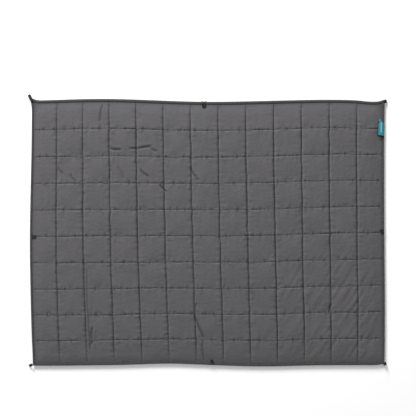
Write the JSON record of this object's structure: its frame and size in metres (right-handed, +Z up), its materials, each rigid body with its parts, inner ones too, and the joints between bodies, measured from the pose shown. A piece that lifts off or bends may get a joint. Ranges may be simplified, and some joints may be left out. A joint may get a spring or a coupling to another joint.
{
  "type": "camp quilt",
  "caption": "Rectangular quilted camp blanket, square cells, bound edges, tape loops at the corners and mid-edges, side panels that fold over onto the middle.",
  "frame": {"origin": "on the floor under the middle of the quilt as it lies flat", "axes": "+X along the long side, +Y along the short side towards the end with the label, +Z up through the thickness"},
  "size_m": [2.0454, 1.5467, 0.0241],
  "materials": {
    "shell_fabric": "satin",
    "lining_fabric": "satin",
    "batting": "matte",
    "thread": "satin",
    "binding_tape": "matte",
    "loop_tape": "matte",
    "woven_label": "satin",
    "care_label": "matte"
  },
  "bodies": {
    "center": {"batting_center": "batting", "binding_bottom_center": "binding_tape", "binding_top_center": "binding_tape", "bobbin_thread_center": "thread", "bottom_shell_center": "lining_fabric", "needle_thread_center": "thread", "top_shell_center": "shell_fabric", "edge_thread_center_top": "thread", "edge_thread_center_bottom": "thread", "side_loop_bottom_tack_a": "thread", "side_loop_bottom_tack_b": "thread", "side_loop_top_tack_a": "thread", "side_loop_top_tack_b": "thread"},
    "flap_left": {"batting_left": "batting", "binding_bottom_left": "binding_tape", "binding_left": "binding_tape", "binding_top_left": "binding_tape", "bobbin_thread_left": "thread", "bottom_shell_left": "lining_fabric", "edge_thread_left": "thread", "needle_thread_left": "thread", "top_shell_left": "shell_fabric", "corner_loop_top_left_tack": "thread", "corner_loop_bottom_left_tack": "thread", "side_loop_left_tack_a": "thread", "side_loop_left_tack_b": "thread"},
    "flap_right": {"batting_right": "batting", "binding_bottom_right": "binding_tape", "binding_right": "binding_tape", "binding_top_right": "binding_tape", "bobbin_thread_right": "thread", "bottom_shell_right": "lining_fabric", "edge_thread_right": "thread", "needle_thread_right": "thread", "top_shell_right": "shell_fabric", "corner_loop_top_right_tack": "thread", "corner_loop_bottom_right_tack": "thread", "side_loop_right_tack_a": "thread", "side_loop_right_tack_b": "thread"},
    "loop_top_left": {"corner_loop_top_left": "loop_tape"},
    "loop_top_right": {"corner_loop_top_right": "loop_tape"},
    "loop_bottom_left": {"corner_loop_bottom_left": "loop_tape"},
    "loop_bottom_right": {"corner_loop_bottom_right": "loop_tape"},
    "loop_top": {"side_loop_top": "loop_tape"},
    "loop_bottom": {"side_loop_bottom": "loop_tape"},
    "loop_left": {"side_loop_left": "loop_tape"},
    "loop_right": {"side_loop_right": "loop_tape"},
    "labels": {"woven_label": "woven_label", "care_label": "care_label"}
  },
  "joints": [
    {"name": "fold_left", "type": "hinge", "parent": "center", "child": "flap_left", "pos_m": [-0.53946, 0, 0.025], "axis": [0, 1, 0], "range_deg": [0, 180]},
    {"name": "fold_right", "type": "hinge", "parent": "center", "child": "flap_right", "pos_m": [0.53946, 0, 0.025], "axis": [0, -1, 0], "range_deg": [0, 180]},
    {"name": "loop_top_left_swing", "type": "hinge", "parent": "flap_left", "child": "loop_top_left", "pos_m": [-0.997, 0.747, 0.0138], "axis": [-0.848, -0.5299, 0], "range_deg": [-150, 0]},
    {"name": "loop_top_right_swing", "type": "hinge", "parent": "flap_right", "child": "loop_top_right", "pos_m": [0.997, 0.747, 0.0138], "axis": [-0.866, 0.5, 0], "range_deg": [-150, 0]},
    {"name": "loop_bottom_left_swing", "type": "hinge", "parent": "flap_left", "child": "loop_bottom_left", "pos_m": [-0.997, -0.747, 0.0138], "axis": [0.342, -0.9397, 0], "range_deg": [-150, 0]},
    {"name": "loop_bottom_right_swing", "type": "hinge", "parent": "flap_right", "child": "loop_bottom_right", "pos_m": [0.997, -0.747, 0.0138], "axis": [0.2079, 0.9781, 0], "range_deg": [-150, 0]},
    {"name": "loop_top_flip", "type": "hinge", "parent": "center", "child": "loop_top", "pos_m": [-0.023, 0.748, 0.0153], "axis": [-1, 0, 0], "range_deg": [0, 160]},
    {"name": "loop_bottom_flip", "type": "hinge", "parent": "center", "child": "loop_bottom", "pos_m": [0.022, -0.748, 0.0153], "axis": [1, 0, 0], "range_deg": [0, 160]},
    {"name": "loop_left_flip", "type": "hinge", "parent": "flap_left", "child": "loop_left", "pos_m": [-0.998, -0.02, 0.0153], "axis": [0, -1, 0], "range_deg": [0, 160]},
    {"name": "loop_right_flip", "type": "hinge", "parent": "flap_right", "child": "loop_right", "pos_m": [0.998, 0.011, 0.0153], "axis": [0, 1, 0], "range_deg": [0, 160]},
    {"name": "labels_flip", "type": "hinge", "parent": "flap_right", "child": "labels", "pos_m": [0.998, 0.601, 0.01215], "axis": [0, 1, 0], "range_deg": [0, 155]}
  ]
}
